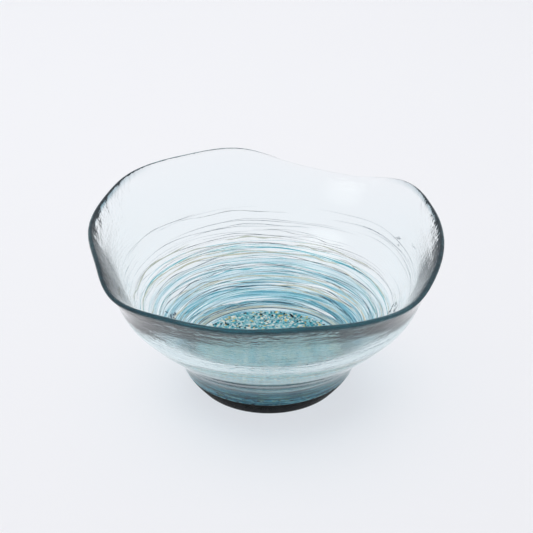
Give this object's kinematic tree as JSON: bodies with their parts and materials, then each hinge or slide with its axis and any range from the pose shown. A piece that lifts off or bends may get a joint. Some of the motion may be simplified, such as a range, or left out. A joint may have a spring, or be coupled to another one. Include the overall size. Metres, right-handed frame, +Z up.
{
  "type": "bowl",
  "caption": "Wide free-hand art glass bowl with a wavy lip, a thick teal foot, and coloured chips and drawn threads held between clear layers.",
  "frame": {"origin": "centre of the foot on the table surface that the bowl stands on", "axes": "+Z up through the middle of the bowl, +Y towards the higher side of the lip, +X to the right of someone facing +Y"},
  "size_m": [0.2043, 0.2111, 0.1046],
  "materials": {
    "clear_glass": "fire-polished clear glass with a faint aqua cast",
    "deep_teal_glass": "deep teal glass, underside ground and polished",
    "aqua_overlay": "thin aqua colour, streaked by spinning",
    "fine_frit": "fine crushed glass melted together, grainy",
    "teal_frit": "crushed teal glass chips",
    "navy_frit": "crushed near-black blue glass chips",
    "white_frit": "crushed opal white glass chips",
    "amber_frit": "crushed amber glass chips",
    "dark_thread_glass": "grey-blue glass drawn to a fine thread",
    "aqua_thread_glass": "aqua glass drawn to a fine thread"
  },
  "bodies": {
    "root": {"aqua_thread_02": "aqua_thread_glass", "aqua_thread_05": "aqua_thread_glass", "aqua_thread_08": "aqua_thread_glass", "aqua_thread_11": "aqua_thread_glass", "aqua_thread_14": "aqua_thread_glass", "aqua_thread_17": "aqua_thread_glass", "aqua_thread_20": "aqua_thread_glass", "colour_overlay": "aqua_overlay", "dark_thread_01": "dark_thread_glass", "dark_thread_03": "dark_thread_glass", "dark_thread_04": "dark_thread_glass", "dark_thread_06": "dark_thread_glass", "dark_thread_07": "dark_thread_glass", "dark_thread_09": "dark_thread_glass", "dark_thread_10": "dark_thread_glass", "dark_thread_12": "dark_thread_glass", "dark_thread_13": "dark_thread_glass", "dark_thread_15": "dark_thread_glass", "dark_thread_16": "dark_thread_glass", "dark_thread_18": "dark_thread_glass", "dark_thread_19": "dark_thread_glass", "foot_disc": "deep_teal_glass", "frit_amber_07": "amber_frit", "frit_amber_14": "amber_frit", "frit_amber_21": "amber_frit", "frit_amber_28": "amber_frit", "frit_crust": "fine_frit", "frit_navy_03": "navy_frit", "frit_navy_10": "navy_frit", "frit_navy_17": "navy_frit", "frit_navy_24": "navy_frit", "frit_navy_31": "navy_frit", "frit_teal_01": "teal_frit", "frit_teal_02": "teal_frit", "frit_teal_04": "teal_frit", "frit_teal_06": "teal_frit", "frit_teal_08": "teal_frit", "frit_teal_09": "teal_frit", "frit_teal_11": "teal_frit", "frit_teal_13": "teal_frit", "frit_teal_15": "teal_frit", "frit_teal_16": "teal_frit", "frit_teal_18": "teal_frit", "frit_teal_20": "teal_frit", "frit_teal_22": "teal_frit", "frit_teal_23": "teal_frit", "frit_teal_25": "teal_frit", "frit_teal_27": "teal_frit", "frit_teal_29": "teal_frit", "frit_teal_30": "teal_frit", "frit_teal_32": "teal_frit", "frit_teal_34": "teal_frit", "frit_white_05": "white_frit", "frit_white_12": "white_frit", "frit_white_19": "white_frit", "frit_white_26": "white_frit", "frit_white_33": "white_frit", "inner_gather": "clear_glass", "outer_casing": "clear_glass"}
  },
  "joints": []
}
